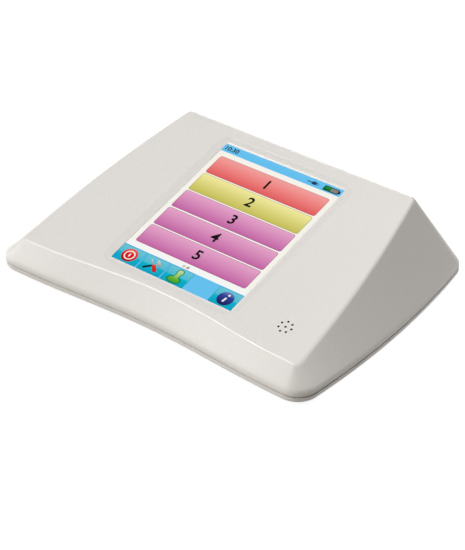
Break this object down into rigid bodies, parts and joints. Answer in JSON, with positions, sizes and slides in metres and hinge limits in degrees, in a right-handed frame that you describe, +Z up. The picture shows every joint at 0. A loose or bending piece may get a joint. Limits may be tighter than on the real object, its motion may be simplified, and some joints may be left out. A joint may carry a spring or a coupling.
{
  "type": "tympanometer",
  "caption": "Wedge-shaped desktop tympanometer with a sunken touch screen, loudspeaker holes, a rear connector bay and an ear-pressure pump inside.",
  "frame": {"origin": "middle of the footprint on the table, under the feet", "axes": "+X to the right of the user, +Y from the user towards the back, +Z up"},
  "size_m": [0.24, 0.172, 0.0539],
  "materials": {
    "shell": "fine-grained moulded ABS, warm off-white",
    "bay_black": "moulded, fine grain",
    "screen_glass": "polished, thin coating",
    "gasket": "closed-cell foam",
    "sheet_steel": "zinc-plated sheet",
    "screw_steel": "zinc-plated",
    "plated_nut": "nickel-plated",
    "part_black": "moulded black",
    "cloth": "fine woven dust cloth",
    "nylon": "natural nylon",
    "board": "green solder mask",
    "header": "cream nylon",
    "brass": "turned",
    "button_red": "moulded, glossy",
    "sleeve_blue": "shrink sleeve",
    "clear_plastic": "polished, slightly translucent",
    "rubber": "moulded",
    "silicone": "smooth tube",
    "ribbon": "flexible printed film",
    "lead_red": "insulated wire",
    "lead_grey": "insulated wire",
    "lead_yellow": "insulated wire"
  },
  "bodies": {
    "housing": {"top_cover": "shell", "bottom_cover": "shell", "bay_frame": "bay_black", "rear_panel": "bay_black", "touch_glass": "screen_glass", "glass_gasket": "gasket", "display_module": "sheet_steel", "display_bracket": "sheet_steel", "bracket_screws": "screw_steel", "loudspeaker": "part_black", "speaker_cloth": "cloth", "speaker_clip": "nylon", "main_board": "board", "board_screws": "screw_steel", "board_chips": "part_black", "board_headers": "header", "board_capacitors": "part_black", "shield_can": "sheet_steel", "clock_cell": "sheet_steel", "power_inlet": "part_black", "inlet_nut": "screw_steel", "usb_socket": "sheet_steel", "phone_jacks": "part_black", "jack_nuts": "plated_nut", "probe_socket": "plated_nut", "probe_insert": "part_black", "probe_nut": "screw_steel", "air_port": "brass", "air_port_nut": "brass", "button_housing": "part_black", "battery_pack": "sleeve_blue", "battery_door": "shell", "door_screws": "screw_steel", "pump_frame": "part_black", "pump_cylinder": "clear_plastic", "cylinder_cap": "nylon", "pump_motor": "sheet_steel", "frame_screws": "screw_steel", "air_block": "nylon", "relief_valve": "sheet_steel", "pressure_sensor": "part_black", "pump_hose": "silicone", "port_hose": "silicone", "display_ribbon": "ribbon", "battery_lead": "lead_red", "speaker_lead": "part_black", "motor_lead": "lead_grey", "air_leads": "lead_yellow", "panel_leads": "lead_red", "rubber_feet": "rubber", "case_screws": "screw_steel"},
    "button": {"power_button": "button_red"},
    "piston": {"pump_piston": "nylon", "piston_ring": "rubber"},
    "pinion": {"motor_pinion": "brass"},
    "valve": {"valve_plunger": "screw_steel"}
  },
  "joints": [
    {"name": "power_button_press", "type": "slide", "parent": "housing", "child": "button", "axis": [0, -1, 0], "range_m": [0, 0.0015], "stiffness_N_per_m": 1200, "springref_m": -0.0006},
    {"name": "pump_drive", "type": "hinge", "parent": "housing", "child": "pinion", "pos_m": [-0.06025, -0.022, 0.02], "axis": [0, 0, 1], "range_deg": [-95.6, 95.6]},
    {"name": "piston_slide", "type": "slide", "parent": "housing", "child": "piston", "axis": [0, 1, 0], "range_m": [-0.01, 0.01]},
    {"name": "valve_lift", "type": "slide", "parent": "housing", "child": "valve", "axis": [0, 0, 1], "range_m": [0, 0.0008], "stiffness_N_per_m": 500, "springref_m": -0.0005}
  ],
  "couplings": [
    {"joint": "pump_drive", "follows": "piston_slide", "rad_per_m": -166.67}
  ]
}
